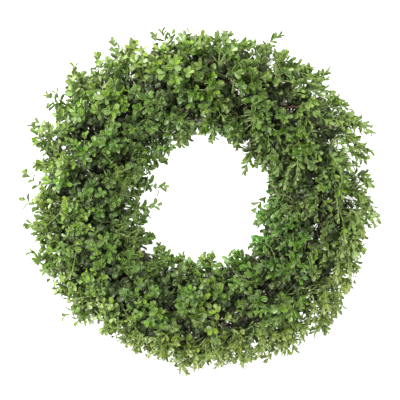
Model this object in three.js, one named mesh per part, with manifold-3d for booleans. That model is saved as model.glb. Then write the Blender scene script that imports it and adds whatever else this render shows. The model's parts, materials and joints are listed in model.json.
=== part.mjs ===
// A round boxwood wreath lying on its back, in millimetres.
// +Z points out of its front and +Y to its top. The clamps of the frame rest on z = 0.
import * as THREE from 'three';
import Module from 'manifold-3d';
import { mergeVertices } from 'three/addons/utils/BufferGeometryUtils.js';

const wasm = await Module();
wasm.setup();

// Driving dimensions
const bunchCount = 18;
const clearance = 0.3;

// Foliage: the reach of the leaf tips, and how far it swells from a true circle.
// Each wave is [times round the ring, height, angle of its crest in degrees].
const outerReach = 276;
const innerReach = 93;
const outerWaves = [[1, 6.7, 47], [2, 6, -15], [3, 2.3, 49], [4, 4.1, 42]];
const innerWaves = [[1, 10.7, 6], [2, 3.2, 55], [3, 3, -27]];
const foliageMiddle = 34;
const foliageRise = 76;
const foliageDrop = 26;
const lowestTurn = THREE.MathUtils.degToRad(-22);
const highestTurn = THREE.MathUtils.degToRad(202);
const tipSpread = 16;
const lowestLeaf = 2.5;

// Welded frame: two wire rails with flat strips clamped across them
const frameRadius = 185;
const railOffset = 12;
const railWire = 2.8;
const railSides = 4;
const railSegments = 24;
const stripWidth = 8;
const stripThickness = 1.5;
const clampHalfWidth = 17;
const clampHeight = 13;
const prongGap = 3;
const weldDepth = 0.4;

// Woody stems, two thick ones to a bunch
const stemRadius = 2.6;
const stemLength = 60;
const stemSides = 4;

// Leafy heads
const coreShare = 0.63;
const coreGap = 0.5;
const coreColumns = 3;
const coreRows = 13;
const coreBend = 0.4;
const coreDip = 0.06;
const reliefHeight = 10;
const undersideRelief = 4;
const channelHalfWidth = 22;
const channelFoot = 7;
const sprigsPerBunch = 7;
const rootShare = 0.5;
const leafLength = 27.5;
const leafWidth = 17;
const leafThickness = 1.8;
const shootRadius = 1.7;
const fitSteps = 18;
const fitLean = 0.12;
const rootedVolume = 2;

const sector = (2 * Math.PI) / bunchCount;
const radians = THREE.MathUtils.degToRad;

// A repeatable random number from 0 to 1 for each whole number
function draw(number) {
  const value = Math.sin(number * 12.9898 + 4.1414) * 43758.5453;
  return value - Math.floor(value);
}

function geometryFrom(points, faces) {
  const geometry = new THREE.BufferGeometry();
  const numbers = points.flatMap((point) => [point.x, point.y, point.z]);
  geometry.setAttribute('position', new THREE.Float32BufferAttribute(numbers, 3));
  geometry.setIndex(faces.flat());
  return geometry;
}

function solidFrom(source) {
  const bare = source.clone();
  bare.deleteAttribute('normal');
  bare.deleteAttribute('uv');
  const merged = mergeVertices(bare, 1e-4);
  return new wasm.Manifold(new wasm.Mesh({
    numProp: 3,
    vertProperties: new Float32Array(merged.attributes.position.array),
    triVerts: new Uint32Array(merged.index.array),
  }));
}

function geometryOf(solid) {
  const mesh = solid.getMesh();
  const geometry = new THREE.BufferGeometry();
  geometry.setAttribute('position', new THREE.BufferAttribute(mesh.vertProperties, 3));
  geometry.setIndex(new THREE.BufferAttribute(mesh.triVerts, 1));
  geometry.computeVertexNormals();
  return geometry;
}

// A point from its angle round the wreath, its distance from the centre and its height
function ringPoint(angle, radius, height) {
  return new THREE.Vector3(radius * Math.cos(angle), radius * Math.sin(angle), height);
}

function swell(waves, angle) {
  return waves.reduce(
    (sum, [times, height, crest]) => sum + height * Math.cos(times * (angle - radians(crest))),
    0,
  );
}

// The foliage in section: a point at a share of its full reach, in the direction of turn,
// which is 0 outward, a quarter turn to the front and a half turn to the hole
function foliagePoint(angle, turn, share) {
  const outer = outerReach + swell(outerWaves, angle);
  const inner = innerReach + swell(innerWaves, angle);
  const across = Math.cos(turn) * (outer - inner) / 2;
  const up = Math.sin(turn) * (turn > 0 && turn < Math.PI ? foliageRise : foliageDrop);
  return ringPoint(angle, (outer + inner) / 2 + share * across, foliageMiddle + share * up);
}

// Frame

// A square wire bent into a ring, sunk a little into the strips that it is welded to
function railGeometry(radius) {
  const wire = railWire / Math.SQRT2;
  const profile = [];
  for (let side = 0; side <= railSides; side += 1) {
    const turn = (side % railSides + 0.5) * 2 * Math.PI / railSides;
    profile.push(new THREE.Vector2(radius + wire * Math.cos(turn), wire * Math.sin(turn)));
  }
  const rail = new THREE.LatheGeometry(profile, railSegments);
  rail.rotateX(Math.PI / 2);
  rail.translate(0, 0, stripThickness - weldDepth + railWire / 2);
  return rail;
}

// A flat strip under the rails, its ends turned up and folded over the stems
function clampGeometry(angle) {
  const contour = (inset, direction) => {
    const corners = [
      [prongGap, clampHeight - inset],
      [clampHalfWidth - inset, clampHeight - inset],
      [clampHalfWidth - inset, inset],
    ];
    const mirrored = corners.map(([across, up]) => [-across, up]).reverse();
    const points = [...corners, ...mirrored];
    return direction > 0 ? points : points.reverse();
  };
  const outline = [...contour(0, 1), ...contour(stripThickness, -1)];
  const shape = new THREE.Shape(outline.map(([across, up]) => new THREE.Vector2(across, up)));
  const clamp = new THREE.ExtrudeGeometry(shape, { depth: stripWidth, bevelEnabled: false });
  clamp.translate(frameRadius, 0, -stripWidth / 2);
  clamp.rotateX(Math.PI / 2);
  clamp.rotateZ(angle);
  return clamp;
}

function frameSolid() {
  let frame = solidFrom(railGeometry(frameRadius - railOffset));
  frame = frame.add(solidFrom(railGeometry(frameRadius + railOffset)));
  for (let bunch = 0; bunch < bunchCount; bunch += 1) {
    frame = frame.add(solidFrom(clampGeometry(bunch * sector)));
  }
  return frame;
}

// Woody stems

// One stem lies between the rails on its clamp, and the other lies across it
const lowStem = stripThickness + clearance + stemRadius;
const stemPlaces = [
  { across: -1.5, height: lowStem, yaw: 0.1, slide: 2 },
  { across: 1.5, height: lowStem + 1.3 * stemRadius, yaw: 0.36, slide: -1 },
];

function stemsSolid(angle) {
  const stems = stemPlaces.map(({ across, height, yaw, slide }) => {
    const stem = new THREE.CylinderGeometry(0.8 * stemRadius, stemRadius, stemLength, stemSides);
    stem.translate(0, slide, 0);
    stem.rotateZ(yaw);
    stem.translate(frameRadius + across, 0, height);
    stem.rotateZ(angle);
    return solidFrom(stem);
  });
  return wasm.Manifold.union(stems);
}

// Leafy heads

// The dense middle of a bunch: a block of the foliage's section, covered all over with
// leaves in relief, with a channel under it for the frame and the stems
function coreSolid(bunch) {
  const halfSector = sector / 2 - coreGap / frameRadius;
  const ceiling = clampHeight + clearance;
  const channel = [
    [-channelHalfWidth, channelFoot],
    [-channelHalfWidth, ceiling],
    [channelHalfWidth, ceiling],
    [channelHalfWidth, channelFoot],
  ];
  const points = [];
  for (let column = 0; column <= coreColumns; column += 1) {
    const inside = column > 0 && column < coreColumns;
    for (let row = 0; row <= coreRows; row += 1) {
      const number = bunch * 97 + column * 19 + row;
      const bend = inside ? coreBend * (draw(number + 5000) - 0.5) : 0;
      const angle = bunch * sector + halfSector * (2 * (column + bend) / coreColumns - 1);
      const turn = THREE.MathUtils.lerp(lowestTurn, highestTurn, row / coreRows);
      const dip = coreDip * (draw(number + 6000) - 0.5);
      points.push(foliagePoint(angle, turn, coreShare + dip));
    }
    const angle = bunch * sector + halfSector * (2 * column / coreColumns - 1);
    channel.forEach(([across, height]) => {
      points.push(ringPoint(angle, frameRadius + across, height));
    });
  }
  const rim = coreRows + 1 + channel.length;
  const faces = [];
  for (let column = 0; column < coreColumns; column += 1) {
    for (let index = 0; index < rim; index += 1) {
      const low = column * rim + index;
      const high = column * rim + (index + 1) % rim;
      const corners = [low, low + rim, high + rim, high];
      const number = bunch * 60 + column * rim + index;
      const underside = index === coreRows || index === rim - 1;
      if (index < coreRows || underside) {
        const height = underside ? undersideRelief : reliefHeight;
        faces.push(...raisedLeaf(points, corners, height, number));
      } else {
        faces.push([low, low + rim, high], [high, low + rim, high + rim]);
      }
    }
  }
  const section = points.slice(0, rim);
  const capFaces = THREE.ShapeUtils.triangulateShape(
    section.map((point) => new THREE.Vector2(Math.hypot(point.x, point.y), point.z)),
    [],
  );
  const last = coreColumns * rim;
  capFaces.forEach(([first, second, third]) => {
    faces.push([first, second, third], [last + first, last + third, last + second]);
  });
  return solidFrom(geometryFrom(points, faces));
}

// Fills a patch of the skin with a leaf in relief. It rises from one corner of the patch to
// a blunt tip over the corner across from it, and falls steeply under the tip.
function raisedLeaf(points, corners, height, number) {
  const start = Math.floor(4 * draw(number + 7000));
  const [root, right, end, left] = [0, 1, 2, 3].map((step) => corners[(start + step) % 4]);
  const rise = height * (0.6 + 0.8 * draw(number + 8000));
  const tips = [right, left].map((beside) => {
    const tip = points[end].clone().lerp(points[beside], 0.3).lerp(points[root], 0.06);
    const outward = tip.clone().sub(foliagePoint(Math.atan2(tip.y, tip.x), 0, 0)).normalize();
    return points.push(tip.addScaledVector(outward, rise)) - 1;
  });
  const [rightTip, leftTip] = tips;
  return [
    [root, right, rightTip],
    [root, rightTip, leftTip],
    [root, leftTip, left],
    [right, end, rightTip],
    [end, leftTip, rightTip],
    [end, left, leftTip],
  ];
}

// The corner points of a blade that grows from a root: broadest past its middle, blunt at
// its tip, and raised along its middle
function bladePoints(root, along, side, size) {
  const face = new THREE.Vector3().crossVectors(along, side);
  const places = [[0.5, -0.5, 0], [0.93, -0.28, 0], [0.93, 0.28, 0], [0.5, 0.5, 0], [0.55, 0, 1]];
  return places.map(([forward, aside, up]) => root.clone()
    .addScaledVector(along, forward * size * leafLength)
    .addScaledVector(side, aside * size * leafWidth)
    .addScaledVector(face, up * leafThickness));
}

// A short shoot that ends in two crossed pairs of leaves, as one closed skin.
// It stands on the origin along +Z, and its bud is at the given height.
function sprigGeometry(height, size) {
  const points = [];
  const faces = [];
  const corners = 4;
  const bud = new THREE.Vector3(0, 0, height);
  for (let corner = 0; corner < corners; corner += 1) {
    const turn = (corner - 0.5) * Math.PI / 2;
    const out = new THREE.Vector3(Math.cos(turn), Math.sin(turn), 0);
    points.push(out.clone().multiplyScalar(0.8 * shootRadius));
    points.push(out.clone().multiplyScalar(shootRadius).add(bud));
  }
  const top = points.push(new THREE.Vector3(0, 0, height + 2)) - 1;
  faces.push([0, 4, 2], [0, 6, 4]);
  for (let leaf = 0; leaf < corners; leaf += 1) {
    const foot = 2 * leaf;
    const nextFoot = 2 * ((leaf + 1) % corners);
    faces.push([foot, nextFoot, foot + 1], [nextFoot, nextFoot + 1, foot + 1]);

    const lift = radians(leaf % 2 === 0 ? 22 : 48);
    const turn = leaf * Math.PI / 2;
    const along = new THREE.Vector3(
      Math.cos(turn) * Math.cos(lift),
      Math.sin(turn) * Math.cos(lift),
      Math.sin(lift),
    );
    const side = new THREE.Vector3(-Math.sin(turn), Math.cos(turn), 0);
    const first = points.length;
    points.push(...bladePoints(bud, along, side, leaf % 2 === 0 ? size : 0.8 * size));
    const rim = [foot + 1, first, first + 1, first + 2, first + 3, nextFoot + 1];
    const skin = [top, ...rim];
    skin.forEach((point, index) => {
      faces.push([point, skin[(index + 1) % skin.length], first + 4]);
    });
    faces.push([rim[0], rim[2], rim[1]], [rim[0], rim[3], rim[2]]);
    faces.push([rim[0], rim[5], rim[3]], [rim[5], rim[4], rim[3]]);
  }
  return geometryFrom(points, faces);
}

// Places spread evenly over a bunch, with more of them outside than round the hole
function spreadPlaces(bunch, count, seed) {
  const places = [];
  for (let index = 0; index < count; index += 1) {
    const number = bunch * count + index;
    const step = (index + 0.5) / count;
    const golden = (number * 0.618034) % 1;
    places.push({
      angle: (bunch + 0.9 * (golden - 0.5)) * sector,
      turn: THREE.MathUtils.lerp(lowestTurn, highestTurn, step * (0.64 + 0.36 * step)),
      size: 0.88 + 0.28 * draw(number + seed),
      roll: 2 * Math.PI * draw(number + seed + 400),
      sway: draw(number + seed + 800) - 0.5,
      reach: tipSpread * (draw(number + seed + 1200) - 0.5),
    });
  }
  return places;
}

// Stands a shape, made on the origin along +Z, on the core at its place. It leans back
// towards the middle of its own bunch by so many radians.
function stoodSolid(geometry, bunch, place, lean) {
  const root = foliagePoint(place.angle, place.turn, rootShare);
  const tangent = ringPoint(place.angle + Math.PI / 2, 1, 0);
  const sweep = 0.3 * place.sway - 0.2 * Math.cos(place.turn);
  const back = lean * Math.sign(bunch * sector - place.angle);
  const axis = foliagePoint(place.angle, place.turn, 1).sub(root).normalize();
  axis.addScaledVector(tangent, sweep + back).normalize();
  const upright = new THREE.Vector3(0, 0, 1);
  geometry.rotateZ(place.roll);
  geometry.applyQuaternion(new THREE.Quaternion().setFromUnitVectors(upright, axis));
  geometry.translate(root.x, root.y, root.z);
  return solidFrom(geometry);
}

function standingSprig(bunch, place, lean) {
  const root = foliagePoint(place.angle, place.turn, rootShare);
  const depth = foliagePoint(place.angle, place.turn, 1).distanceTo(root);
  const height = Math.max(depth + place.reach - 0.5 * place.size * leafLength, 8);
  return stoodSolid(sprigGeometry(height, place.size), bunch, place, lean);
}

// What would meet another leaf, a neighbour or the ground is turned and bent back in small
// steps until it is clear, and left out if it never is
function bentClear(bunch, place, core, others) {
  for (let step = 0; step < fitSteps; step += 1) {
    const turned = { ...place, roll: place.roll + 2.4 * step };
    const solid = standingSprig(bunch, turned, fitLean * Math.floor(step / 4));
    const aboveGround = solid.boundingBox().min[2] > lowestLeaf;
    if (aboveGround && others.every((other) => solid.minGap(other, 1) > clearance)) {
      const rooted = solid.intersect(core).volume() > rootedVolume;
      return rooted ? [solid] : [];
    }
  }
  return [];
}

function leavesSolid(bunch, neighbours) {
  const core = coreSolid(bunch);
  const grown = [];
  for (const place of spreadPlaces(bunch, sprigsPerBunch, 500)) {
    grown.push(...bentClear(bunch, place, core, [...neighbours, ...grown]));
  }
  return wasm.Manifold.union([core, ...grown]);
}

// Finishes

const paintedWire = new THREE.MeshStandardMaterial({
  color: 0x3c4a38,
  roughness: 0.45,
  metalness: 0.6,
});
const bark = new THREE.MeshStandardMaterial({ color: 0x6b4a36, roughness: 0.85 });
const leafGreens = [0x5f7a3c, 0x6c8846, 0x557038].map(
  (color) => new THREE.MeshStandardMaterial({ color, roughness: 0.5 }),
);

// Assembly

const wreath = new THREE.Group();

function addPiece(name, solid, material) {
  const mesh = new THREE.Mesh(geometryOf(solid), material);
  mesh.name = name;
  wreath.add(mesh);
}

addPiece('wire_frame', frameSolid(), paintedWire);

const cores = [];
for (let bunch = 0; bunch < bunchCount; bunch += 1) {
  cores.push(coreSolid(bunch));
}
const heads = [];
for (let bunch = 0; bunch < bunchCount; bunch += 1) {
  const label = String(bunch + 1).padStart(2, '0');
  const before = (bunch + bunchCount - 1) % bunchCount;
  const after = (bunch + 1) % bunchCount;
  const neighbours = [heads[before] ?? cores[before], heads[after] ?? cores[after]];
  heads.push(leavesSolid(bunch, neighbours));
  addPiece(`stems_${label}`, stemsSolid(bunch * sector), bark);
  addPiece(`leaves_${label}`, heads[bunch], leafGreens[bunch % leafGreens.length]);
}

// The origin is under the middle of the wreath's box
const box = new THREE.Box3().setFromObject(wreath);
const middle = box.getCenter(new THREE.Vector3());
wreath.position.set(-middle.x, -middle.y, 0);

export default wreath;
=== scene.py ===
import json
import math

import bpy
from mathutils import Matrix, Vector

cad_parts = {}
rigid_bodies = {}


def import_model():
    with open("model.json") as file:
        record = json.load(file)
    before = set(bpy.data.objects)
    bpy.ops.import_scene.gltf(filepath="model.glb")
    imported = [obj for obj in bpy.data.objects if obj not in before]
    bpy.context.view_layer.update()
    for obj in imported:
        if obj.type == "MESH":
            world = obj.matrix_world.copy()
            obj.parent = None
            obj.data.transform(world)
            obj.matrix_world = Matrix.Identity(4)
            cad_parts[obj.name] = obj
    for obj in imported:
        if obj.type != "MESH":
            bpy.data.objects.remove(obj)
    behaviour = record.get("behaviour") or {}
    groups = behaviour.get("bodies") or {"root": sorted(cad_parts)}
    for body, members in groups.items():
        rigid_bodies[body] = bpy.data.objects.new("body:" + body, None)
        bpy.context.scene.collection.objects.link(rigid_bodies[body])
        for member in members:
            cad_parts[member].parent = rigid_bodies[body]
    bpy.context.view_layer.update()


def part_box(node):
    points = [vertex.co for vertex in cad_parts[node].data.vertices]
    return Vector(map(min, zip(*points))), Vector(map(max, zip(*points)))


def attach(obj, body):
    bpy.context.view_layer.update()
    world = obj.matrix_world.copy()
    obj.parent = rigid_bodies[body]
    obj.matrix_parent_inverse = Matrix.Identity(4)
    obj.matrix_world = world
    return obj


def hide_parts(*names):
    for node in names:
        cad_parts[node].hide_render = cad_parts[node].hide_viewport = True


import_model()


# Wire frame: a welded ring of two round steel wires. Flat steel strips are welded across
# both wires, and their ends are bent up and folded over the stems of each bunch. The
# whole ring is dipped in dark green paint.
rail_radii = (0.173, 0.197)
weld_radius = sum(rail_radii) / 2
rail_wire_radius = 0.0015
rail_height = 0.0025
clamp_count = 18
clamp_width = 0.008
clamp_thickness = 0.0015
clamp_half_span = 0.0165
clamp_height = 0.0125
clamp_bend = 0.003
bend_steps = 5
prong_gap = 0.0032
prong_dip = 0.0012
ring_low, ring_high = (Vector(corner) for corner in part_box("wire_frame"))
centre = Vector(((ring_low.x + ring_high.x) / 2, (ring_low.y + ring_high.y) / 2, 0.0))


def start_material(name):
    """Starts a material and returns it with its shader"""
    material = bpy.data.materials.new(name)
    material.use_nodes = True
    return material, material.node_tree.nodes["Principled BSDF"]


def in_use(sockets, label=None):
    """The first socket in use, or the one in use that has a given name"""
    return next(
        socket for socket in sockets if socket.enabled and label in (None, socket.name)
    )


def fill(socket, value):
    """Links a socket to another one, or sets it to a plain value"""
    if isinstance(value, bpy.types.NodeSocket):
        socket.id_data.links.new(value, socket)
    else:
        socket.default_value = value


def place_node(tree, kind, inputs=None, **settings):
    """Adds a node, sets its own settings and fills its inputs"""
    node = tree.nodes.new(kind)
    for setting, value in settings.items():
        setattr(node, setting, value)
    for label, value in (inputs or {}).items():
        fill(in_use(node.inputs, label), value)
    return node


def node_result(tree, kind, inputs=None, **settings):
    """Adds a node and returns its first output in use"""
    return in_use(place_node(tree, kind, inputs, **settings).outputs)


def surface_noise(material, scale, detail, roughness=0.5):
    """A fine unevenness all through a piece"""
    place = place_node(material.node_tree, "ShaderNodeTexCoord")
    return node_result(
        material.node_tree,
        "ShaderNodeTexNoise",
        {
            "Vector": place.outputs["Object"],
            "Scale": scale,
            "Detail": detail,
            "Roughness": roughness,
        },
    )


def colour_ramp(share, stops):
    """Turns a number into a colour, by the colours at its stops"""
    ramp = place_node(share.id_data, "ShaderNodeValToRGB", {"Fac": share})
    elements = ramp.color_ramp.elements
    elements.remove(elements[1])
    elements[0].position, elements[0].color = stops[0]
    for position, colour in stops[1:]:
        elements.new(position).color = colour
    return ramp.outputs["Color"]


def dress(shader, colour, roughness, relief, strength, depth):
    """Gives a surface its colour, its roughness and a fine relief"""
    bump = node_result(
        shader.id_data,
        "ShaderNodeBump",
        {"Height": relief, "Strength": strength, "Distance": depth},
    )
    for label, value in (("Base Color", colour), ("Roughness", roughness), ("Normal", bump)):
        fill(shader.inputs[label], value)


def start_tree(name, sizes):
    """Starts a geometry tree with named inputs, and returns it with those inputs"""
    tree = bpy.data.node_groups.new(name, "GeometryNodeTree")
    kinds = {
        int: "Int",
        float: "Float",
        Vector: "Vector",
        bpy.types.Material: "Material",
        bpy.types.Collection: "Collection",
        bpy.types.Object: "Object",
    }
    tree.interface.new_socket("Geometry", in_out="INPUT", socket_type="NodeSocketGeometry")
    for label, value in sizes.items():
        kind = "NodeSocket" + kinds[type(value)]
        tree.interface.new_socket(label, in_out="INPUT", socket_type=kind)
    tree.interface.new_socket("Geometry", in_out="OUTPUT", socket_type="NodeSocketGeometry")
    return tree, tree.nodes.new("NodeGroupInput").outputs


def joined(parts):
    """Joins the geometry of several parts"""
    join = place_node(parts[0].id_data, "GeometryNodeJoinGeometry")
    for part in parts:
        fill(join.inputs["Geometry"], part)
    return join.outputs["Geometry"]


def end_tree(geometry, material):
    """Closes a tree with Realize Instances and Set Material"""
    tree = geometry.id_data
    realized = node_result(tree, "GeometryNodeRealizeInstances", {"Geometry": geometry})
    finished = node_result(
        tree, "GeometryNodeSetMaterial", {"Geometry": realized, "Material": material}
    )
    fill(tree.nodes.new("NodeGroupOutput").inputs["Geometry"], finished)


def mesh_piece(name, mesh):
    """Shows a mesh as an object at the origin"""
    piece = bpy.data.objects.new(name, mesh)
    bpy.context.scene.collection.objects.link(piece)
    return piece


def grow_piece(name, seedling, tree, sizes):
    """Runs a tree over a mesh with the given sizes, and keeps the result as a plain mesh"""
    maker = mesh_piece(name + "_maker", seedling)
    modifier = maker.modifiers.new("Grow", "NODES")
    modifier.node_group = tree
    for socket in tree.interface.items_tree:
        if socket.in_out == "INPUT" and socket.name in sizes:
            modifier[socket.identifier] = sizes[socket.name]
    graph = bpy.context.evaluated_depsgraph_get()
    mesh = bpy.data.meshes.new_from_object(maker.evaluated_get(graph))
    mesh.name = name
    maker.modifiers.clear()
    bpy.data.objects.remove(maker)
    return mesh_piece(name, mesh)


# Green paint over steel: a little uneven from the dip, and darker in its dents
green_paint, paint_shader = start_material("green_dip_paint")
paint_noise = surface_noise(green_paint, scale=260.0, detail=3.0)
paint_colour = colour_ramp(
    paint_noise, ((0.35, (0.012, 0.03, 0.014, 1)), (0.7, (0.03, 0.07, 0.03, 1)))
)
dress(paint_shader, paint_colour, 0.38, paint_noise, strength=0.25, depth=0.0004)
paint_shader.inputs["Metallic"].default_value = 0.1


def clamp_mesh():
    """One clamp strip across the ring at angle 0: a flat bottom, round bends and prongs"""
    middle = clamp_thickness / 2
    bent = clamp_half_span - middle - clamp_bend
    top = clamp_height - middle
    path = [(prong_gap, top - prong_dip), (bent, top)]
    for step in range(1, 2 * bend_steps + 1):
        turn = math.pi / 2 * step / bend_steps
        height = top - clamp_bend if step < bend_steps else middle + clamp_bend
        path.append((bent + clamp_bend * math.sin(turn), height + clamp_bend * math.cos(turn)))
    path += [(-across, up) for across, up in reversed(path)]
    points = []
    for index, (across, up) in enumerate(path):
        before = path[max(index - 1, 0)]
        after = path[min(index + 1, len(path) - 1)]
        run = Vector((after[0] - before[0], after[1] - before[1])).normalized()
        aside = Vector((-run.y, run.x)) * middle
        for sign in (1, -1):
            x, z = across + sign * aside.x, up + sign * aside.y
            points += [(x, -clamp_width / 2, z), (x, clamp_width / 2, z)]
    last = 4 * (len(path) - 1)
    faces = [(0, 1, 3, 2)]
    for first in range(0, last, 4):
        for near, far in ((0, 1), (1, 3), (3, 2), (2, 0)):
            faces.append((first + near, first + near + 4, first + far + 4, first + far))
    faces.append((last, last + 2, last + 3, last + 1))
    mesh = bpy.data.meshes.new("clamp")
    mesh.from_pydata(points, [], faces)
    return mesh


clamp_template = mesh_piece("clamp_template", clamp_mesh())
frame_sizes = {
    "Centre": centre,
    "Inner rail": rail_radii[0],
    "Outer rail": rail_radii[1],
    "Rail height": rail_height,
    "Wire radius": rail_wire_radius,
    "Wire sides": 10,
    "Rail steps": 160,
    "Clamps": clamp_count,
    "Weld radius": weld_radius,
    "Clamp": clamp_template,
    "Paint": green_paint,
}
frame_tree, frame_inputs = start_tree("Welded wreath ring", frame_sizes)
wire_section = node_result(
    frame_tree,
    "GeometryNodeCurvePrimitiveCircle",
    {"Resolution": frame_inputs["Wire sides"], "Radius": frame_inputs["Wire radius"]},
)
lifted = node_result(frame_tree, "ShaderNodeCombineXYZ", {"Z": frame_inputs["Rail height"]})
frame_parts = []
for rail in ("Inner rail", "Outer rail"):
    ring = node_result(
        frame_tree,
        "GeometryNodeCurvePrimitiveCircle",
        {"Resolution": frame_inputs["Rail steps"], "Radius": frame_inputs[rail]},
    )
    wire = node_result(
        frame_tree, "GeometryNodeCurveToMesh", {"Curve": ring, "Profile Curve": wire_section}
    )
    frame_parts.append(node_result(
        frame_tree, "GeometryNodeTransform", {"Geometry": wire, "Translation": lifted}
    ))
weld_points = node_result(
    frame_tree,
    "GeometryNodeMeshCircle",
    {"Vertices": frame_inputs["Clamps"], "Radius": frame_inputs["Weld radius"]},
)
weld_angle = node_result(
    frame_tree,
    "FunctionNodeAlignRotationToVector",
    {"Vector": node_result(frame_tree, "GeometryNodeInputPosition")},
    axis="X",
    pivot_axis="Z",
)
clamp_source = place_node(
    frame_tree, "GeometryNodeObjectInfo", {"Object": frame_inputs["Clamp"]}
)
frame_parts.append(node_result(
    frame_tree,
    "GeometryNodeInstanceOnPoints",
    {
        "Points": weld_points,
        "Instance": clamp_source.outputs["Geometry"],
        "Rotation": weld_angle,
    },
))
frame_placed = node_result(
    frame_tree,
    "GeometryNodeTransform",
    {"Geometry": joined(frame_parts), "Translation": frame_inputs["Centre"]},
)
end_tree(frame_placed, frame_inputs["Paint"])
wire_ring = grow_piece("wire_ring", bpy.data.meshes.new("start"), frame_tree, frame_sizes)
bpy.data.objects.remove(clamp_template)
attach(wire_ring, "root")
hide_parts("wire_frame")


# Woody stems: each bunch is a handful of cut boxwood twigs with brown to red-brown bark.
# Their cut ends lie in the clamp, and from there they fork and rise into the foliage.
bunch_count = 18
sector = 2 * math.pi / bunch_count
outer_reach = 0.2748
inner_reach = 0.0934
# Waves in the two rims: how many go round, how high they are, and the degrees of a crest
outer_waves = (
    (1, 0.0116, 25), (2, 0.0042, -5), (3, 0.0014, 42),
    (4, 0.005, 40), (5, 0.0013, -2), (6, 0.0035, 25),
)
inner_waves = (
    (1, 0.0128, -1), (2, 0.002, 25), (3, 0.0032, -31), (4, 0.0033, 42), (5, 0.0029, 12),
)
foliage_middle = 0.034
foliage_rise = 0.076
foliage_drop = 0.026
lowest_turn = math.radians(-22)
highest_turn = math.radians(202)
branches_per_bunch = 7
extra_branches = 3
# Each bunch keeps this many numbers to draw with for its branches
branch_numbers = 20
bark_stops = (
    (0.3, (0.05, 0.02, 0.017, 1)),
    (0.52, (0.16, 0.056, 0.046, 1)),
    (0.75, (0.25, 0.12, 0.09, 1)),
)


def draw(number):
    """A repeatable random number from 0 to 1; each use adds a sum of its own to the number"""
    value = math.sin(number * 12.9898 + 4.1414) * 43758.5453
    return value - math.floor(value)


def golden(number, start=0.0):
    """Spreads whole numbers evenly from 0 to 1 by the golden ratio"""
    return (number * 0.618034 + start) % 1


def ring_point(angle, radius, height):
    """A point from its angle round the wreath, its distance from the centre and its height"""
    return centre + Vector((radius * math.cos(angle), radius * math.sin(angle), height))


def along_ring(angle):
    """The direction that runs along the ring at an angle"""
    return ring_point(angle + math.pi / 2, 1, 0) - centre


def waved(reach, waves, angle):
    """The reach of a rim at an angle"""
    return reach + sum(
        height * math.cos(times * (angle - math.radians(crest)))
        for times, height, crest in waves
    )


def foliage_point(angle, turn, share):
    """A point of the foliage's section: turn is 0 outward, a quarter turn to the front"""
    outer = waved(outer_reach, outer_waves, angle)
    inner = waved(inner_reach, inner_waves, angle)
    across = math.cos(turn) * (outer - inner) / 2
    up = math.sin(turn) * (foliage_rise if 0 < turn < math.pi else foliage_drop)
    return ring_point(angle, (outer + inner) / 2 + share * across, foliage_middle + share * up)


def spray_places(bunch):
    """Where the sprays of a bunch grow: spread evenly, and more of them outside"""
    places = []
    for index in range(branches_per_bunch):
        number = bunch * branches_per_bunch + index
        step = (index + 0.5) / branches_per_bunch
        span = step * (0.64 + 0.36 * step)
        places.append({
            "angle": (bunch + (golden(number) - 0.5)) * sector,
            "turn": lowest_turn + (highest_turn - lowest_turn) * span,
            "size": 0.88 + 0.28 * draw(number + 500),
            "sway": draw(number + 1300) - 0.5,
            "hue": 1.4 * draw(number + 1500) - 0.7,
            "tone": draw(number + 1600),
            "youth": 0.3 + 0.5 * draw(number + 1620) ** 1.5,
            "growth": 0.94 + 0.3 * draw(number + 1650) ** 2,
            "reach": 0.03 * (draw(number + 1700) - 0.5) - 0.0075,
            "share": 0.42,
            "bow": 0.006,
        })
    return places


def stalk_points(stalks):
    """A mesh with one point at the root of each stalk, which carries the stalk's numbers"""
    mesh = bpy.data.meshes.new("stalks")
    mesh.from_pydata([stalk["root"] for stalk in stalks], [], [])
    for kind, key, blank, labels in (
        ("FLOAT_VECTOR", "vector", Vector((0, 0, 0)), "reach bend side"),
        ("INT", "value", 0, "stalk leaves"),
        ("FLOAT", "value", 0, "thickness leaf_length spread roll youth hue tone"),
        ("FLOAT", "value", 0, "inner withered swept"),
    ):
        for label in labels.split():
            attribute = mesh.attributes.new(label, kind, "POINT")
            for index, stalk in enumerate(stalks):
                value = index if label == "stalk" else stalk.get(label, blank)
                setattr(attribute.data[index], key, value)
    return mesh


def branch_stalks(bunch):
    """The woody branches of a bunch, from the clamp to the middle of each spray"""
    stalks = []
    places = spray_places(bunch)
    for extra in range(extra_branches):
        number = bunch * extra_branches + extra
        places.append({
            "angle": (bunch - 1.3 + 0.8 * draw(number + 2100)) * sector,
            "turn": math.pi * (0.2 + 0.6 * (extra + draw(number + 2200)) / extra_branches),
            "share": 0.62,
            "bow": 0.024,
        })
    for index, place in enumerate(places):
        number = bunch * branch_numbers + index
        start = ring_point(
            (bunch + 0.24 - 0.5 * draw(number + 2300)) * sector,
            weld_radius + 0.018 * (draw(number + 2400) - 0.5),
            0.0056 + 0.003 * draw(number + 2500),
        )
        end = foliage_point(place["angle"], place["turn"], place["share"])
        bow = place["bow"] * (draw(number + 2600) - 0.7)
        stalks.append({
            "root": start,
            "reach": end - start,
            "bend": along_ring(place["angle"]) * bow - Vector((0, 0, 0.003)),
            "thickness": 0.0012 + 0.0008 * draw(number + 2700),
        })
    return stalks


def number_named(tree, label, kind="FLOAT"):
    """Reads a named number or vector of the points"""
    return node_result(
        tree, "GeometryNodeInputNamedAttribute", {"Name": label}, data_type=kind
    )


def with_numbers(geometry, domain, **numbers):
    """Stores named numbers on points, faces or instances"""
    for label, value in numbers.items():
        geometry = node_result(
            geometry.id_data,
            "GeometryNodeStoreNamedAttribute",
            {"Geometry": geometry, "Name": label, "Value": value},
            data_type="FLOAT",
            domain=domain,
        )
    return geometry


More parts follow.
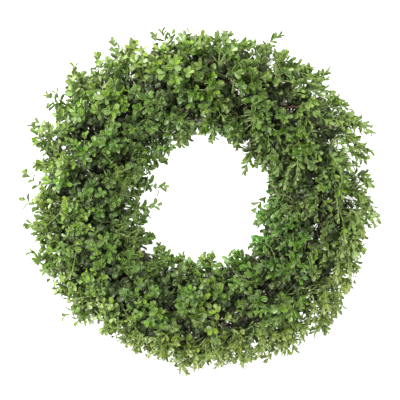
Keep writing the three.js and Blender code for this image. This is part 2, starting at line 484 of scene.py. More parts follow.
def reckon(operation, *values, kind="ShaderNodeMath"):
    """One operation on one to three numbers, of which at least one is a socket"""
    tree = next(value.id_data for value in values if isinstance(value, bpy.types.NodeSocket))
    node = place_node(tree, kind, operation=operation)
    for socket, value in zip([socket for socket in node.inputs if socket.enabled], values):
        fill(socket, value)
    return in_use(node.outputs)


def reckon_vector(operation, *values):
    """One operation on vectors, where SCALE takes a vector and a number"""
    return reckon(operation, *values, kind="ShaderNodeVectorMath")


def along_stalk(share):
    """Where a stalk runs at a share of its length, and which way it points there"""
    reach = number_named(share.id_data, "reach", "FLOAT_VECTOR")
    bend = number_named(share.id_data, "bend", "FLOAT_VECTOR")
    straight = reckon_vector("SCALE", reach, share)
    rest = reckon("SUBTRACT", 1.0, share)
    sag = reckon("MULTIPLY", reckon("MULTIPLY", share, rest), 4.0)
    offset = reckon_vector("ADD", straight, reckon_vector("SCALE", bend, sag))
    slope = reckon("MULTIPLY", reckon("SUBTRACT", rest, share), 4.0)
    heading = reckon_vector("ADD", reach, reckon_vector("SCALE", bend, slope))
    return offset, reckon_vector("NORMALIZE", heading)


def stalk_tubes(points, steps, sides, tip_share):
    """Sweeps a thinning round tube along each stalk"""
    tree = points.id_data
    doubled = place_node(
        tree,
        "GeometryNodeDuplicateElements",
        {"Geometry": points, "Amount": reckon("ADD", steps, 1.0)},
        domain="POINT",
    )
    share = reckon("DIVIDE", doubled.outputs["Duplicate Index"], steps)
    marked = with_numbers(doubled.outputs["Geometry"], "POINT", along=share)
    along = number_named(tree, "along")
    placed = node_result(
        tree,
        "GeometryNodeSetPosition",
        {"Geometry": marked, "Offset": along_stalk(along)[0]},
    )
    curves = node_result(
        tree,
        "GeometryNodePointsToCurves",
        {
            "Points": placed,
            "Curve Group ID": number_named(tree, "stalk", "INT"),
            "Weight": along,
        },
    )
    section = node_result(
        tree, "GeometryNodeCurvePrimitiveCircle", {"Resolution": sides, "Radius": 1.0}
    )
    thinned = reckon("ADD", reckon("MULTIPLY", along, tip_share - 1.0), 1.0)
    return node_result(
        tree,
        "GeometryNodeCurveToMesh",
        {
            "Curve": curves,
            "Profile Curve": section,
            "Scale": reckon("MULTIPLY", number_named(tree, "thickness"), thinned),
            "Fill Caps": True,
        },
    )


# Boxwood bark: rough, and blotched from nearly black over red-brown to a paler brown
bark, bark_shader = start_material("boxwood_bark")
bark_noise = surface_noise(bark, scale=420.0, detail=4.0, roughness=0.6)
bark_colour = colour_ramp(bark_noise, bark_stops)
dress(bark_shader, bark_colour, 0.8, bark_noise, strength=0.6, depth=0.0006)

stem_sizes = {"Steps": 8, "Sides": 7, "Bark": bark}
stem_tree, stem_inputs = start_tree("Woody stems", stem_sizes)
stem_points = node_result(
    stem_tree, "GeometryNodeMeshToPoints", {"Mesh": stem_inputs["Geometry"]}
)
stem_tubes = stalk_tubes(
    stem_points, stem_inputs["Steps"], stem_inputs["Sides"], tip_share=0.55
)
end_tree(stem_tubes, stem_inputs["Bark"])
for bunch in range(bunch_count):
    label = f"{bunch + 1:02d}"
    stems = grow_piece(
        f"woody_stems_{label}", stalk_points(branch_stalks(bunch)), stem_tree, stem_sizes
    )
    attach(stems, "root")
    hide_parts(f"stems_{label}")


# Foliage: small glossy evergreen leaves in opposite pairs on thin green shoots, each pair
# a quarter turn from the last, crowded into a rosette at the tip. The shoots grow in
# sprays from the twigs and fill the ring; the young leaves at their tips are lighter.
leaf_length = 0.0124
leaf_thickness_share = 0.045
pair_spacing = 0.0058
shoot_radius = 0.0008
shortest_shoot = 0.02
shoots_per_spray = 7
outer_rim_sprays = 3
inner_rim_sprays = 2
shoots_per_rim_spray = 4
filling_per_bunch = 8
shaded_per_bunch = 20
bed_per_bunch = 44
most_fine_shoots = 24
# Each bunch keeps this many numbers to draw with for its fine shoots
fine_numbers = 26
# Rows of points up a leaf: how far along it, and half its width there
full_rows = ((0.12, 0.14), (0.36, 0.37), (0.62, 0.49), (0.84, 0.43), (0.98, 0.2))
plain_rows = ((0.38, 0.46), (0.9, 0.34))
# Leaf shapes for the outside and plain ones for the inside: width, fold, arch and twist
outer_forms = (
    (0.64, 0.24, 0.08, 0.06),
    (0.52, 0.44, 0.18, -0.14),
    (0.58, 0.16, 0.28, 0.14),
    (0.61, 0.36, -0.18, -0.08),
)
inner_forms = ((0.7, 0.2, 0.1, 0.1), (0.6, 0.1, -0.1, -0.1))
# Tips that stand out alone: degrees round the ring, degrees round its section with 180
# into the hole, and how far out on the section
stragglers = (
    (157, 178, 1.22), (171, 4, 1.13), (180, 0, 1.14), (188, 6, 1.08), (221, 0, 1.12),
    (162, 182, 1.2), (186, 176, 1.14), (34, 176, 1.14), (354, 180, 1.12), (118, 4, 1.12),
    (64, 2, 1.1), (126, -4, 1.0), (133, 4, 1.08), (135, -4, 1.0), (143, 5, 1.0),
    (145, 2, 1.09), (147, -3, 0.98), (154, 6, 1.05), (156, 0, 1.14), (158, -4, 1.04),
    (99, -5, 0.97), (102, 2, 1.02), (105, -3, 0.99), (303, 2, 0.99), (308, -3, 0.89),
    (312, 3, 0.92), (315, 0, 1.02), (318, -4, 0.9), (321, 4, 0.94),
)


def leaf_mesh(name, rows, width, fold, arch, twist):
    """One closed leaf, 1 long along +Y: obovate, blunt and notched, folded on its midrib"""
    points = [(0.0, 0.0, 0.0)]
    spots = [(0.5, 0.0)]
    for index, (forward, half) in enumerate(rows):
        half *= width
        drop = arch * forward * forward
        lean = twist * forward
        for aside in (-1, 0, 1):
            up = fold * half * abs(aside) * 2 - drop + lean * half * aside
            notch = 0.02 if index == len(rows) - 1 and aside == 0 else 0
            points.append((aside * half, forward - notch, up))
            spots.append((0.5 + 0.5 * aside, forward))
    under = {}
    for middle in range(2, 3 * len(rows) - 1, 3):
        x, y, z = points[middle]
        under[middle] = len(points)
        points.append((x, y, z - leaf_thickness_share))
        spots.append(spots[middle])
    faces = [(0, 2, 1), (0, 3, 2)]
    for first in range(1, 3 * len(rows) - 2, 3):
        for left in (first, first + 1):
            faces.append((left, left + 1, left + 4, left + 3))
    top_count = len(faces)
    for face in list(faces):
        faces.append(tuple(under.get(corner, corner) for corner in reversed(face)))
    mesh = bpy.data.meshes.new(name)
    mesh.from_pydata(points, [], faces)
    mesh.polygons.foreach_set("use_smooth", [True] * len(faces))
    layer = mesh.uv_layers.new(name="leaf_map")
    for loop in mesh.loops:
        layer.data[loop.index].uv = spots[loop.vertex_index]
    underside = mesh.attributes.new("underside", "FLOAT", "FACE")
    for index in range(len(faces)):
        underside.data[index].value = 0.0 if index < top_count else 1.0
    rim = mesh.attributes.new("sharp_edge", "BOOLEAN", "EDGE")
    middles = set(range(2, 2 + 3 * len(rows), 3)) | set(under.values())
    for edge in mesh.edges:
        low, high = sorted(edge.vertices)
        rim.data[edge.index].value = not middles & {low, high} and high - low in (1, 3)
    return mesh


leaf_shapes = bpy.data.collections.new("leaf_shapes")
for rows, forms in ((full_rows, outer_forms), (plain_rows, inner_forms)):
    for form in forms:
        name = f"leaf_shape_{len(leaf_shapes.objects)}"
        leaf_shapes.objects.link(bpy.data.objects.new(name, leaf_mesh(name, rows, *form)))


def nearness(angle, degrees):
    """How near an angle is to a place on the ring: 1 there, 0 from a quarter turn away"""
    return max(0.0, math.cos(angle - math.radians(degrees)))


def youth_and_painted_light(angle, turn):
    """How pale the leaves are, from youth and from painted light: most at the rims, partly as
    young tips and partly as painted backlight, at the upper left as painted light and at the
    lower right, and least beside the hole on the left, as painted shade"""
    outward = math.cos(turn)
    # The rims are paler partly as young tips and partly as painted backlight
    rim = outward * outward if outward > 0 else max(0.0, (-outward - 0.85) / 0.28)
    # Painted light where the light falls from the upper left
    sunny = nearness(angle, 130) ** 2
    low = nearness(angle, 305)
    youth_and_light_sum = rim * (0.9 + 0.7 * sunny + 1.9 * low) + 0.4 * sunny * max(0.0, outward + 0.3)
    # Painted light on the outer side at the left, and painted shade on its side into the hole
    return youth_and_light_sum + nearness(angle, 180) * (0.3 if outward > 0 else 1.3) * outward


def region_size(angle, turn):
    """The leaves are small in the rosettes at the front left, on the right and at the foot"""
    front_left = max(0.0, math.sin(turn)) * nearness(angle, 195)
    foot = nearness(angle, 285) * max(0.0, math.cos(turn))
    return 1.1 - 0.22 * front_left - 0.08 * nearness(angle, 0) - 0.12 * foot


def region_sweep(angle):
    """The shoots of the right half lie swept along the ring, and their leaves are slim"""
    return min(1.0, max(0.15, 0.4 + 1.2 * math.cos(angle - 0.15)))


def region_hue(angle, turn):
    """The foliage is bluest on the inner side at the lower right, and yellower outside"""
    facing = nearness(angle, -25) ** 6
    outside = max(0.0, math.cos(turn)) * (0.4 + 0.9 * nearness(angle, 300))
    return 2.1 * facing * max(0.0, -math.cos(turn)) - outside


def outer_look(angle, turn, size, youth, hue, **others):
    """The look of a shoot's leaves on the outside, with what its place on the wreath adds,
    painted light and shade among it
    """
    return {
        "size": size * region_size(angle, turn),
        # Youth here takes in painted light and shade from the leaves' place on the wreath
        "youth": youth + 0.5 * youth_and_painted_light(angle, turn),
        "hue": hue + region_hue(angle, turn),
        **others,
    }


def shoot_stalk(
    stem, tip, number, share, leaves, size, youth, hue, tone, spread=1, inner=0, withered=0
):
    """One green shoot, from a share of its stem's length to its tip, with its leaves"""
    root = stem["root"] + stem["reach"] * share + stem["bend"] * 4 * share * (1 - share)
    reach = tip - root
    tangent = Vector((-tip.y, tip.x, 0)).normalized()
    swept = draw(number + 3100) - 0.25 + 1.6 * max(0.0, tangent.y)
    bend = tangent * swept - Vector((0, 0, 0.4 * draw(number + 3200)))
    side = Vector((draw(number + 3300) - 0.5, draw(number + 3400) - 0.5, 0.3))
    pairs = int((reach.length - 0.006) / (1.25 * (pair_spacing * spread)))
    return {
        "root": root,
        "reach": reach,
        "bend": bend * 0.16 * reach.length,
        "side": reach.cross(side).normalized(),
        "thickness": shoot_radius * (0.85 + 0.5 * draw(number + 3500)),
        "leaves": min(leaves, max(2, pairs * 2)),
        "leaf_length": leaf_length * size,
        "spread": spread,
        "roll": 2 * math.pi * draw(number + 3600),
        "youth": youth,
        "hue": hue + 0.7 * (draw(number + 3700) - 0.5),
        "tone": 0.5 * (tone + draw(number + 3750)),
        "inner": inner,
        "withered": withered,
        "swept": region_sweep(math.atan2(tip.y, tip.x)),
    }


def nearest(stems, places, turn):
    """The stem of the spray that grows nearest to a turn round the section"""
    return stems[min(range(len(places)), key=lambda index: abs(places[index]["turn"] - turn))]


def spray_shoots(bunch, places, stems):
    """The sprays of a bunch, whose shoots spread from the end of a stem round a middle one"""
    for index, place in enumerate(places):
        angle, turn = place["angle"], place["turn"]
        foot = foliage_point(angle, turn, 0.5)
        crest = foliage_point(angle, turn, 1)
        tangent = along_ring(angle)
        axis = (crest - foot).normalized()
        axis = axis + Vector((axis.x, axis.y, 0)) * 0.3
        lean = 0.8 * place["sway"] - 0.2 * math.cos(turn) - 0.8 * region_sweep(angle)
        axis = (axis + tangent * lean).normalized()
        depth = (crest - foot).length + place["reach"] - 0.0165 * place["size"]
        bud = foot + axis * max(depth, 0.008)
        aside = axis.cross(tangent).normalized()
        ahead = aside.cross(axis)
        rim = abs(math.cos(turn))
        round_bud = shoots_per_spray - 1
        for shoot in range(shoots_per_spray):
            number = (bunch * branches_per_bunch + index) * shoots_per_spray + shoot
            turned = 2 * math.pi * (shoot + 0.6 * draw(number + 3900)) / round_bud
            # The last shoot is the middle one and stands out a little
            if shoot == round_bud:
                out, lift = 0, 0.0105
            else:
                out = (0.02 - 0.006 * rim) * place["size"] * (0.7 + 0.6 * draw(number + 4000))
                lift = 0.003 - (0.014 + 0.012 * rim) * draw(number + 4100)
            tip = bud + axis * lift
            tip = tip + (aside * math.cos(turned) + ahead * math.sin(turned)) * out
            look = outer_look(
                angle,
                turn,
                size=place["growth"] * (0.82 + 0.3 * draw(number + 4200)),
                spread=1 + 0.35 * rim * rim,
                # Paler towards the outside, partly as young tips and partly as painted light,
                # and darker in tone on the inner slope towards the hole, as painted shade
                youth=place["youth"] * (1 + 0.4 * math.cos(turn)),
                hue=place["hue"],
                tone=place["tone"] - 0.35 * max(0.0, math.sin(turn - 0.7)) ** 2,
            )
            yield shoot_stalk(stems[index], tip, number, share=0.9, leaves=14, **look)


def rim_shoots(bunch, places, stems):
    """Looser sprays at the two rims, first the outer ones and then those into the hole"""
    for index in range(outer_rim_sprays + inner_rim_sprays):
        spray = bunch * (outer_rim_sprays + inner_rim_sprays) + index
        middle = (bunch + golden(spray, 0.55) - 0.5) * sector
        lowest, breadth = (-14, 44) if index < outer_rim_sprays else (150, 38)
        first_turn = lowest + breadth * draw(spray + 5100)
        furthest = 0.83 + 0.25 * draw(spray + 5200)
        for shoot in range(shoots_per_rim_spray):
            number = spray * shoots_per_rim_spray + shoot
            angle = middle + 0.06 * (draw(number + 5250) - 0.5)
            turn = math.radians(first_turn + 24 * (draw(number + 5270) - 0.5))
            tip = foliage_point(angle, turn, furthest - 0.16 * draw(number + 5280))
            look = outer_look(
                angle,
                turn,
                size=0.86 + 0.3 * draw(number + 5300),
                spread=1.5,
                youth=0.3 + 0.3 * draw(number + 5400),
                hue=1.2 * draw(spray + 5450) - 0.7,
                tone=draw(spray + 5480),
            )
            stem = nearest(stems, places, turn)
            yield shoot_stalk(stem, tip, number + 5500, share=0.95, leaves=14, **look)


def fine_shoots(bunch, places, stems):
    """Fine shoots with small pale leaves, which make the rim at the foot lacy"""
    for index in range(round(most_fine_shoots * nearness(bunch * sector, 278))):
        number = bunch * fine_numbers + index
        angle = (bunch + golden(number, 0.47) - 0.5) * sector
        turn = math.radians(-16 + 56 * draw(number + 6100))
        tip = foliage_point(angle, turn, 0.78 + 0.2 * draw(number + 6200))
        look = outer_look(
            angle,
            turn,
            size=0.55 + 0.25 * draw(number + 6300),
            spread=0.9,
            youth=0.5 + 0.4 * draw(number + 6400),
            hue=0.8 * draw(number + 6450) - 0.8,
            tone=draw(number + 6480),
        )
        stem = nearest(stems, places, turn)
        yield shoot_stalk(stem, tip, number + 6500, share=0.95, leaves=14, **look)


def straggler_shoots(bunch, places, stems):
    """The tips of a bunch that stand out alone"""
    look = {"size": 1.15, "spread": 1.6, "youth": 0.7, "hue": -0.4, "tone": 0.6}
    for number, (degrees, turn_degrees, reach) in enumerate(stragglers):
        angle, turn = math.radians(degrees), math.radians(turn_degrees)
        if round(angle / sector) % bunch_count == bunch:
            tip = foliage_point(angle, turn, reach)
            stem = nearest(stems, places, turn)
            yield shoot_stalk(stem, tip, number + 5900, share=0.97, leaves=10, **look)


def filling_shoots(bunch, places, stems):
    """Shoots between the sprays, a little deeper"""
    for index in range(filling_per_bunch):
        number = bunch * filling_per_bunch + index
        angle = (bunch + golden(number, 0.31) - 0.5) * sector
        step = (index + draw(number + 4300)) / filling_per_bunch
        turn = math.pi * (0.02 + 0.96 * step ** 1.3)
        tip = foliage_point(angle, turn, 0.76 + 0.14 * draw(number + 4400))
        look = outer_look(
            angle,
            turn,
            size=0.9 + 0.3 * draw(number + 4500),
            youth=0.1 + 0.3 * draw(number + 4600),
            hue=1.4 * draw(number + 4650) - 0.7,
            tone=draw(number + 4660),
        )
        stem = nearest(stems, places, turn)
        yield shoot_stalk(stem, tip, number + 5000, share=0.8, leaves=12, **look)


def shaded_shoots(bunch, places, stems):
    """Shaded shoots half way in"""
    for index in range(shaded_per_bunch):
        number = bunch * shaded_per_bunch + index
        angle = (bunch + 1.3 * (golden(number, 0.77) - 0.5)) * sector
        turn = math.pi * (-0.15 + 1.3 * (index + draw(number + 4700)) / shaded_per_bunch)
        tip = foliage_point(angle, turn, 0.35 + 0.3 * draw(number + 4800))
        look = {
            "size": 1.1 + 0.3 * draw(number + 4900),
            "youth": 0.1 * draw(number + 5000),
            "hue": draw(number + 5050) - 0.5,
            "tone": draw(number + 5060),
            "inner": 1,
            # Some grey-brown, partly as withered leaves and partly as painted shade
            "withered": 0.22,
        }
        stem = nearest(stems, places, turn)
        yield shoot_stalk(stem, tip, number + 9000, share=0.4, leaves=12, **look)


def bed_shoots(bunch, places, stems):
    """A bed of old shoots over the clamps, under all the others, greyed towards grey-brown
    partly as withered leaves and partly as painted shade deep in the wreath
    """
    for index in range(bed_per_bunch):
        number = bunch * bed_per_bunch + index
        angle = (bunch + 1.5 * (golden(number, 0.13) - 0.5)) * sector
        radius = 0.12 + 0.125 * (index + draw(number + 5600)) / bed_per_bunch
        tip = ring_point(angle, radius, 0.014 + 0.03 * draw(number + 5700))
        look = {
            "size": 1.15 + 0.3 * draw(number + 5800),
            "youth": 0.05 * draw(number + 5900),
            "hue": draw(number + 5950) - 0.5,
            "tone": draw(number + 5960),
            "inner": 1,
            "withered": 0.8 - 9 * max(0.0, radius - 0.2),
        }
        stem = stems[index % len(places)]
        yield shoot_stalk(stem, tip, number + 9500, share=0.02, leaves=18, **look)


def shoot_stalks(bunch):
    """All the green shoots of a bunch that are long enough to carry leaves"""
    places = spray_places(bunch)
    stems = branch_stalks(bunch)
    shoots = []
    for kind in (
        spray_shoots,
        rim_shoots,
        fine_shoots,
        straggler_shoots,
        filling_shoots,
        shaded_shoots,
        bed_shoots,
    ):
        shoots += kind(bunch, places, stems)
    return [shoot for shoot in shoots if shoot["reach"].length >= shortest_shoot]


# Boxwood leaf: glossy dark green above with a pale midrib and margin, dull and paler below,
# lighter and yellower when young and as painted light at the rims and the upper left, darker
# as painted shade inside and beside the hole, and grey-brown partly when withered and partly
# as painted shade deep inside
leaf_green, leaf_shader = start_material("boxwood_leaf_green")
leaf_nodes = leaf_green.node_tree


def carried(label):
    """Reads a number that each leaf or shoot carries"""
    return place_node(leaf_nodes, "ShaderNodeAttribute", attribute_name=label).outputs["Fac"]


def mapped(value, to_low, to_high, from_low=0.0, from_high=1.0):
    """Maps a number from one range to another"""
    return node_result(
        leaf_nodes,
        "ShaderNodeMapRange",
        {
            "Value": value,
            "From Min": from_low,
            "From Max": from_high,
            "To Min": to_low,
            "To Max": to_high,
        },
    )


def mixed(share, first, second):
    """Mixes a share of a second colour into a first"""
    return node_result(
        leaf_nodes,
        "ShaderNodeMix",
        {"Factor": share, "A": first, "B": second},
        data_type="RGBA",
    )


leaf_spot = node_result(leaf_nodes, "ShaderNodeUVMap", uv_map="leaf_map")
across_leaf = node_result(leaf_nodes, "ShaderNodeSeparateXYZ", {"Vector": leaf_spot})
from_midrib = reckon("ABSOLUTE", reckon("SUBTRACT", across_leaf, 0.5))
midrib = mapped(from_midrib, 0.9, 0.0, from_high=0.09)
margin = mapped(from_midrib, 0.0, 0.9, from_low=0.38, from_high=0.5)
mottle = surface_noise(leaf_green, scale=320.0, detail=2.0)
mottled = reckon("MULTIPLY", mottle, 0.1)
toned = reckon("MULTIPLY_ADD", carried("leaf_tone"), 0.42, mottled)
# The leaf's age carries youth together with painted light and shade
lightness = reckon("MULTIPLY_ADD", carried("leaf_age"), 0.52, toned)
plain_green = colour_ramp(
    lightness,
    (
        (0.05, (0.052, 0.094, 0.013, 1)),
        (0.35, (0.1, 0.185, 0.02, 1)),
        (0.68, (0.22, 0.335, 0.055, 1)),
        (0.9, (0.355, 0.48, 0.145, 1)),
        (1.0, (0.46, 0.55, 0.25, 1)),
    ),
)
own_green = node_result(
    leaf_nodes,
    "ShaderNodeHueSaturation",
    {
        "Hue": mapped(carried("leaf_hue"), 0.47, 0.592, from_low=-1.0, from_high=2.0),
        "Saturation": mapped(carried("leaf_vigour"), 0.78, 1.38),
        "Color": plain_green,
    },
)
# Grey-brown mixed in, partly as withered leaves and partly as painted shade in the deep gaps
greyed_green = mixed(carried("withered"), own_green, (0.16, 0.135, 0.125, 1))
vein = reckon("MAXIMUM", midrib, margin)
vein_strength = reckon("MULTIPLY_ADD", carried("inner"), -0.8, 1.0)
veined = mixed(reckon("MULTIPLY", vein, vein_strength), greyed_green, (0.43, 0.55, 0.17, 1))
leaf_back = carried("underside")
leaf_colour = mixed(reckon("MULTIPLY", leaf_back, 0.7), veined, (0.26, 0.35, 0.11, 1))
leaf_dullness = mapped(leaf_back, 0.38, 0.7)
dress(leaf_shader, leaf_colour, leaf_dullness, mottle, strength=0.3, depth=0.0004)

leaf_sizes = {
    "Pair spacing": pair_spacing,
    "Shoot steps": 5,
    "Shoot sides": 5,
    "Seed": 7,
    "Turned to the front": 0.15,
    "Flattened to": 0.007,
    "Back clearance": 0.0012,
    "Leaf shapes": leaf_shapes,
    "Leaf": leaf_green,
}
leafy_tree, leafy_inputs = start_tree("Leafy boxwood shoots", leaf_sizes)


def chance(low, high, extra):
    """A random number for each leaf between two values; each use adds its own to the seed"""
    return node_result(
        leafy_tree,
        "FunctionNodeRandomValue",
        {"Min": low, "Max": high, "Seed": reckon("ADD", leafy_inputs["Seed"], extra)},
        data_type="FLOAT",
    )


shoot_points = node_result(
    leafy_tree, "GeometryNodeMeshToPoints", {"Mesh": leafy_inputs["Geometry"]}
)
shoot_tubes = stalk_tubes(
    shoot_points, leafy_inputs["Shoot steps"], leafy_inputs["Shoot sides"], tip_share=0.6
)
leaf_points = place_node(
    leafy_tree,
    "GeometryNodeDuplicateElements",
    {"Geometry": shoot_points, "Amount": number_named(leafy_tree, "leaves", "INT")},
    domain="POINT",
)
numbered = with_numbers(
    leaf_points.outputs["Geometry"], "POINT", number=leaf_points.outputs["Duplicate Index"]
)
leaf_number = number_named(leafy_tree, "number")
shoot_reach = number_named(leafy_tree, "reach", "FLOAT_VECTOR")
shoot_side = number_named(leafy_tree, "side", "FLOAT_VECTOR")
shoot_spread, shoot_roll, shoot_swept, shoot_inner, shoot_youth_and_light, shoot_tone, shoot_hue = (
    number_named(leafy_tree, label)
    for label in ("spread", "roll", "swept", "inner", "youth", "tone", "hue")
)

# Pairs are closest at the tip, and each is a quarter turn from the last
pair = reckon("FLOOR", reckon("DIVIDE", leaf_number, 2.0))
second = reckon("MODULO", leaf_number, 2.0)
pairs_back = reckon("MULTIPLY", pair, reckon("MULTIPLY_ADD", pair, 0.1, 0.55))
spacings_back = reckon("MULTIPLY", pairs_back, shoot_spread)
back_from_tip = reckon("MULTIPLY", spacings_back, leafy_inputs["Pair spacing"])
share_back = reckon("DIVIDE", back_from_tip, reckon_vector("LENGTH", shoot_reach))
share_left = reckon("SUBTRACT", 1.0, share_back)
leaf_offset, shoot_heading = along_stalk(reckon("MAXIMUM", share_left, 0.0))
leaf_places = node_result(
    leafy_tree, "GeometryNodeSetPosition", {"Geometry": numbered, "Offset": leaf_offset}
)
first_side = reckon_vector(
    "NORMALIZE", reckon_vector("CROSS_PRODUCT", shoot_heading, shoot_side)
)
other_side = reckon_vector("CROSS_PRODUCT", shoot_heading, first_side)
pair_turn = reckon("MULTIPLY_ADD", pair, math.pi / 2, chance(-0.3, 0.3, 1))
leaf_turn = reckon("ADD", pair_turn, reckon("MULTIPLY_ADD", second, math.pi, shoot_roll))
leaf_aside = reckon_vector(
    "ADD",
    reckon_vector("SCALE", first_side, reckon("COSINE", leaf_turn)),
    reckon_vector("SCALE", other_side, reckon("SINE", leaf_turn)),
)

# Tip leaves stand up round the bud and older ones lie open, less so on swept shoots
opened = reckon(
    "MULTIPLY_ADD",
    reckon("MINIMUM", reckon("MULTIPLY_ADD", pair, 0.25, 0.65), 1.25),
    reckon("MULTIPLY_ADD", shoot_swept, -0.35, 1.0),
    chance(-0.3, 0.3, 2),
)
opened_sine = reckon("SINE", opened)
opened_cosine = reckon("COSINE", opened)
leaf_heading = reckon_vector(
    "ADD",
    reckon_vector("SCALE", shoot_heading, opened_cosine),
    reckon_vector("SCALE", leaf_aside, opened_sine),
)
leaf_face = reckon_vector(
    "SUBTRACT",
    reckon_vector("SCALE", shoot_heading, opened_sine),
    reckon_vector("SCALE", leaf_aside, opened_cosine),
)
to_front = reckon(
    "MULTIPLY", reckon("SUBTRACT", 1.0, shoot_swept), leafy_inputs["Turned to the front"]
)
front = node_result(leafy_tree, "ShaderNodeCombineXYZ", {"Z": to_front})
leaf_rotation = node_result(
    leafy_tree,
    "FunctionNodeAxesToRotation",
    {"Primary Axis": leaf_heading, "Secondary Axis": reckon_vector("ADD", leaf_face, front)},
    primary_axis="Y",
    secondary_axis="Z",
)
leaf_tilt = node_result(
    leafy_tree,
    "FunctionNodeAxisAngleToRotation",
    {"Axis": (0.0, 1.0, 0.0), "Angle": chance(-0.8, 0.8, 3)},
)
leaf_turned = node_result(
    leafy_tree,
    "FunctionNodeRotateRotation",
    {"Rotation": leaf_rotation, "Rotate By": leaf_tilt},
    rotation_space="LOCAL",
)

# Tip leaves are small, and those of swept shoots are slim and long
grown = reckon("MINIMUM", reckon("MULTIPLY_ADD", pair, 0.17, 0.76), 1.0)
own_size = reckon("MULTIPLY", grown, chance(0.85, 1.15, 4))
leaf_scale = reckon("MULTIPLY", own_size, number_named(leafy_tree, "leaf_length"))
slimmer = reckon("MULTIPLY_ADD", shoot_swept, -0.12, 1.0)
longer = reckon("MULTIPLY_ADD", shoot_swept, 0.15, 1.0)
leaf_stretch = node_result(
    leafy_tree,
    "ShaderNodeCombineXYZ",
    {
        "X": reckon("MULTIPLY", slimmer, leaf_scale),
        "Y": reckon("MULTIPLY", longer, leaf_scale),
        "Z": leaf_scale,
    },
)

# The outer leaf shapes are drawn for the outside, and the plain ones for the inside
leaf_set = node_result(
    leafy_tree,
    "GeometryNodeCollectionInfo",
    {
        "Collection": leafy_inputs["Leaf shapes"],
        "Separate Children": True,
        "Reset Children": True,
    },
)
shapes_fewer = len(inner_forms) - len(outer_forms)
shape_choice = reckon("MULTIPLY_ADD", shoot_inner, shapes_fewer, len(outer_forms))
shape_drawn = reckon("MULTIPLY", chance(0.0, 0.999, 5), shape_choice)
leaf_shape = reckon("MULTIPLY_ADD", shoot_inner, len(outer_forms), shape_drawn)
leaves = node_result(
    leafy_tree,
    "GeometryNodeInstanceOnPoints",
    {
        "Points": leaf_places,
        "Instance": leaf_set,
        "Pick Instance": True,
        "Instance Index": reckon("FLOOR", leaf_shape),
        "Rotation": leaf_turned,
        "Scale": leaf_stretch,
    },
)

# Tip leaves are the youngest and lightest, and the shoot's youth carries painted light and
# shade as well; inner ones are dark, partly as older leaves and partly as painted shade
pair_youth_and_light = reckon("MULTIPLY", reckon("MULTIPLY_ADD", pair, -0.28, 1.0), shoot_youth_and_light)
older_leaf_youth_and_light = reckon("MULTIPLY_ADD", shoot_youth_and_light, 0.6, -0.2)
own_tone = reckon("MULTIPLY_ADD", shoot_tone, 0.4, chance(0.0, 0.56, 6))
pair_light = reckon("MULTIPLY_ADD", pair, -0.14, 1.1)
shaded_light = reckon("MULTIPLY_ADD", shoot_inner, -0.75, pair_light)
coloured_leaves = with_numbers(
    leaves,
    "INSTANCE",
    leaf_age=reckon("MAXIMUM", pair_youth_and_light, older_leaf_youth_and_light),
    leaf_tone=reckon("MULTIPLY", own_tone, reckon("MAXIMUM", shaded_light, 0.1)),
    leaf_hue=reckon("MULTIPLY_ADD", shoot_hue, 0.6, chance(-0.25, 0.25, 8)),
    leaf_vigour=chance(0.0, 1.0, 9),
)
coloured_shoots = with_numbers(shoot_tubes, "FACE", leaf_tone=0.6, leaf_age=0.6)

# Leaves that would reach through the wall behind the wreath lie pressed flat before it
real_leaves = node_result(
    leafy_tree, "GeometryNodeRealizeInstances", {"Geometry": coloured_leaves}
)
leafy_place = node_result(leafy_tree, "GeometryNodeInputPosition")
leafy_split = place_node(leafy_tree, "ShaderNodeSeparateXYZ", {"Vector": leafy_place}).outputs
flattened_to = leafy_inputs["Flattened to"]
above = reckon("SUBTRACT", leafy_split["Z"], flattened_to)
below = reckon("MINIMUM", above, 0.0)
pressing = reckon("EXPONENT", reckon("DIVIDE", below, flattened_to))
pressed_height = reckon(
    "MULTIPLY_ADD", pressing, flattened_to, leafy_inputs["Back clearance"]
)
free_height = reckon("MAXIMUM", above, 0.0)
pressed_place = node_result(
    leafy_tree,
    "ShaderNodeCombineXYZ",
    {
        "X": leafy_split["X"],
        "Y": leafy_split["Y"],
        "Z": reckon("ADD", pressed_height, free_height),
    },
)
pressed_leaves = node_result(
    leafy_tree, "GeometryNodeSetPosition", {"Geometry": real_leaves, "Position": pressed_place}
)
end_tree(joined((pressed_leaves, coloured_shoots)), leafy_inputs["Leaf"])
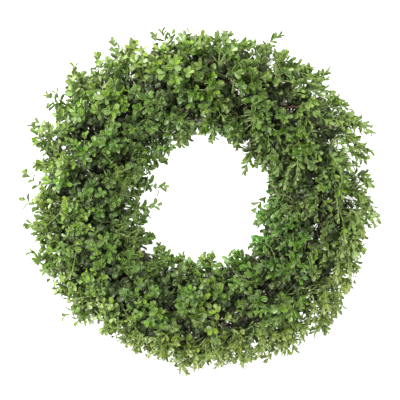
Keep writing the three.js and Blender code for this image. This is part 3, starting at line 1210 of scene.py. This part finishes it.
for bunch in range(bunch_count):
    label = f"{bunch + 1:02d}"
    foliage = grow_piece(
        f"foliage_{label}", stalk_points(shoot_stalks(bunch)), leafy_tree, leaf_sizes
    )
    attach(foliage, "root")
    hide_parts(f"leaves_{label}")
for template in list(leaf_shapes.objects):
    bpy.data.objects.remove(template)
bpy.data.collections.remove(leaf_shapes)


# Floor, light and camera: the wreath lies on its back on a plain pale floor under soft
# studio light, and the camera looks straight down on it.
floor_reach = 4
picture_width = 0.632
picture_middle = Vector((0.0009, 0.0019, 0.04))
camera_distance = 3.0

floor_mesh = bpy.data.meshes.new("floor")
floor_corners = ((-1, -1), (1, -1), (1, 1), (-1, 1))
floor_mesh.from_pydata(
    [(x * floor_reach, y * floor_reach, 0) for x, y in floor_corners], [], [(0, 1, 2, 3)]
)
floor = mesh_piece("floor", floor_mesh)
floor_paper, floor_shader = start_material("pale_paper")
floor_shader.inputs["Base Color"].default_value = (0.9, 0.9, 0.9, 1)
floor_shader.inputs["Roughness"].default_value = 0.9
floor_shader.inputs["Emission Color"].default_value = (1.0, 1.0, 1.0, 1)
floor_shader.inputs["Emission Strength"].default_value = 1.0
floor_mesh.materials.append(floor_paper)

scene = bpy.context.scene
scene.view_settings.view_transform = "Standard"
world = bpy.data.worlds.new("studio")
world.use_nodes = True
sky = world.node_tree.nodes["Background"]
sky.inputs["Color"].default_value = (0.9, 0.95, 1.0, 1)
sky.inputs["Strength"].default_value = 0.67
scene.world = world
for name, place, size, energy in (
    ("key_light", (-1.7, 1.3, 3.1), 0.7, 135.0),
    ("fill_light", (1.5, -1.2, 2.6), 2.4, 30.0),
):
    lamp = bpy.data.lights.new(name, "AREA")
    lamp.size = size
    lamp.energy = energy
    light = bpy.data.objects.new(name, lamp)
    light.location = place
    light.rotation_euler = (-Vector(place)).to_track_quat("-Z", "Y").to_euler()
    scene.collection.objects.link(light)

lens = bpy.data.cameras.new("camera")
lens.lens = lens.sensor_width * camera_distance / picture_width
camera = bpy.data.objects.new("camera", lens)
camera.location = picture_middle + Vector((0, 0, camera_distance))
scene.collection.objects.link(camera)
scene.camera = camera
